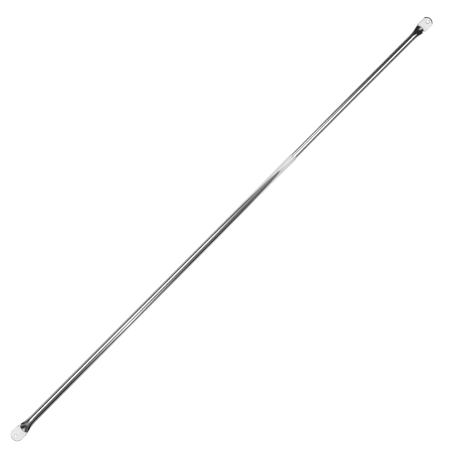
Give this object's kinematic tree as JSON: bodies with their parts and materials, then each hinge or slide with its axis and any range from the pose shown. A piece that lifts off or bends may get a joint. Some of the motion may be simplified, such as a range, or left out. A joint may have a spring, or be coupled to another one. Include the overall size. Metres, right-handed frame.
{
  "type": "telescopic rod",
  "caption": "Slim telescopic chrome rod: a thin tube slides and turns in a thicker one, and each far end is pressed flat into a round-ended tab with a screw hole.",
  "frame": {"origin": "centre of the outer tube's screw hole, halfway through the tab", "axes": "+X along the rod, from the outer tube's tab to the inner tube's tab; +Z square to both tabs; +Y across the tabs"},
  "size_m": [0.865, 0.019, 0.0126],
  "materials": {
    "chrome_plate": "bright chrome plate on drawn steel tube, mirror polished along its length",
    "bush_plastic": "natural translucent moulded plastic, satin",
    "ring_plastic": "natural white moulded nylon, satin"
  },
  "bodies": {
    "outer_section": {"outer_tube": "chrome_plate", "mouth_bush": "bush_plastic"},
    "slide_ring": {"guide_ring": "ring_plastic"},
    "inner_section": {"inner_tube": "chrome_plate"}
  },
  "joints": [
    {"name": "extend", "type": "slide", "parent": "outer_section", "child": "slide_ring", "axis": [1, 0, 0], "range_m": [-0.2398, 0.1961]},
    {"name": "turn", "type": "hinge", "parent": "slide_ring", "child": "inner_section", "pos_m": [0.361, 0, 0], "axis": [1, 0, 0], "continuous": true}
  ]
}
